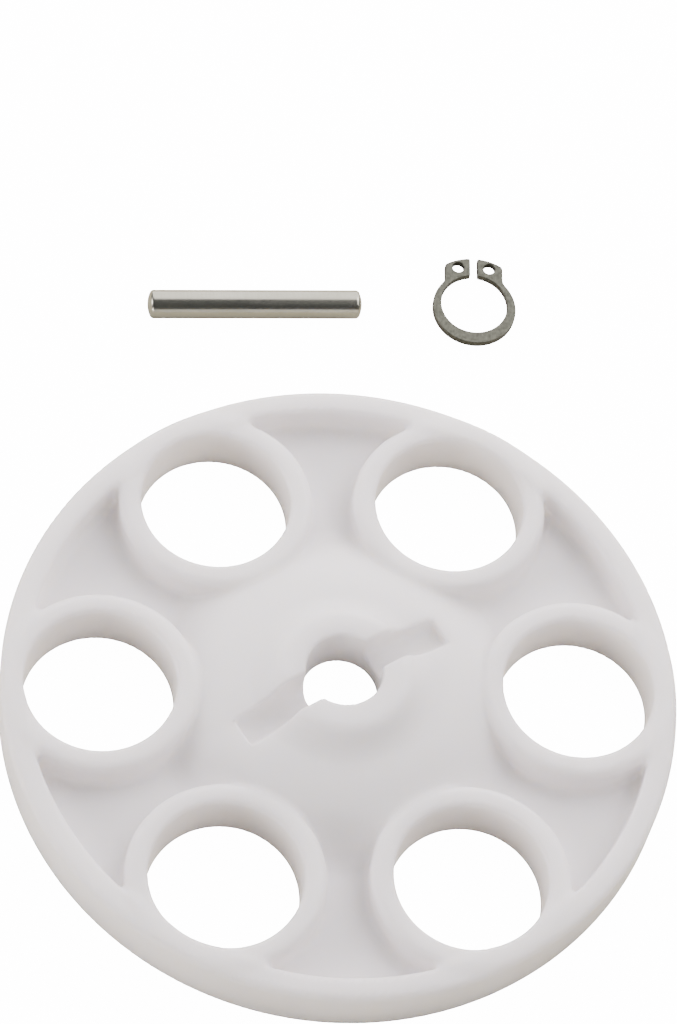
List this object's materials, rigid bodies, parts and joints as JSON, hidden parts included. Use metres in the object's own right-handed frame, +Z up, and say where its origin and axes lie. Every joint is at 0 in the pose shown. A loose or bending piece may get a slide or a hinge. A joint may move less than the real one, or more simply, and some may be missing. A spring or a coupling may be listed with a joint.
{
  "type": "hub-drive wheel kit",
  "caption": "White plastic drive disc with round windows and a slotted hub, with its loose steel drive pin and spring retaining ring",
  "frame": {"origin": "centre of the shaft bore at its lower mouth, the face in the hub's recess that the retaining ring seats against", "axes": "+Z up along the bore axis, out of the hub's boss; +X along the pin slot; +Y follows right-handed"},
  "size_m": [0.1022, 0.1111, 0.0122],
  "materials": {
    "white_plastic": "satin",
    "polished_steel": "polished",
    "spring_steel": "satin"
  },
  "bodies": {
    "disc": {"drive_disc": "white_plastic"},
    "pin": {"drive_pin": "polished_steel"},
    "ring": {"retaining_ring": "spring_steel"}
  },
  "joints": [
    {"name": "pin_lift", "type": "slide", "parent": "disc", "child": "pin", "axis": [0, 0, 1], "range_m": [0, 0.04]},
    {"name": "ring_lift", "type": "slide", "parent": "disc", "child": "ring", "axis": [0, 0, 1], "range_m": [0, 0.04]}
  ]
}
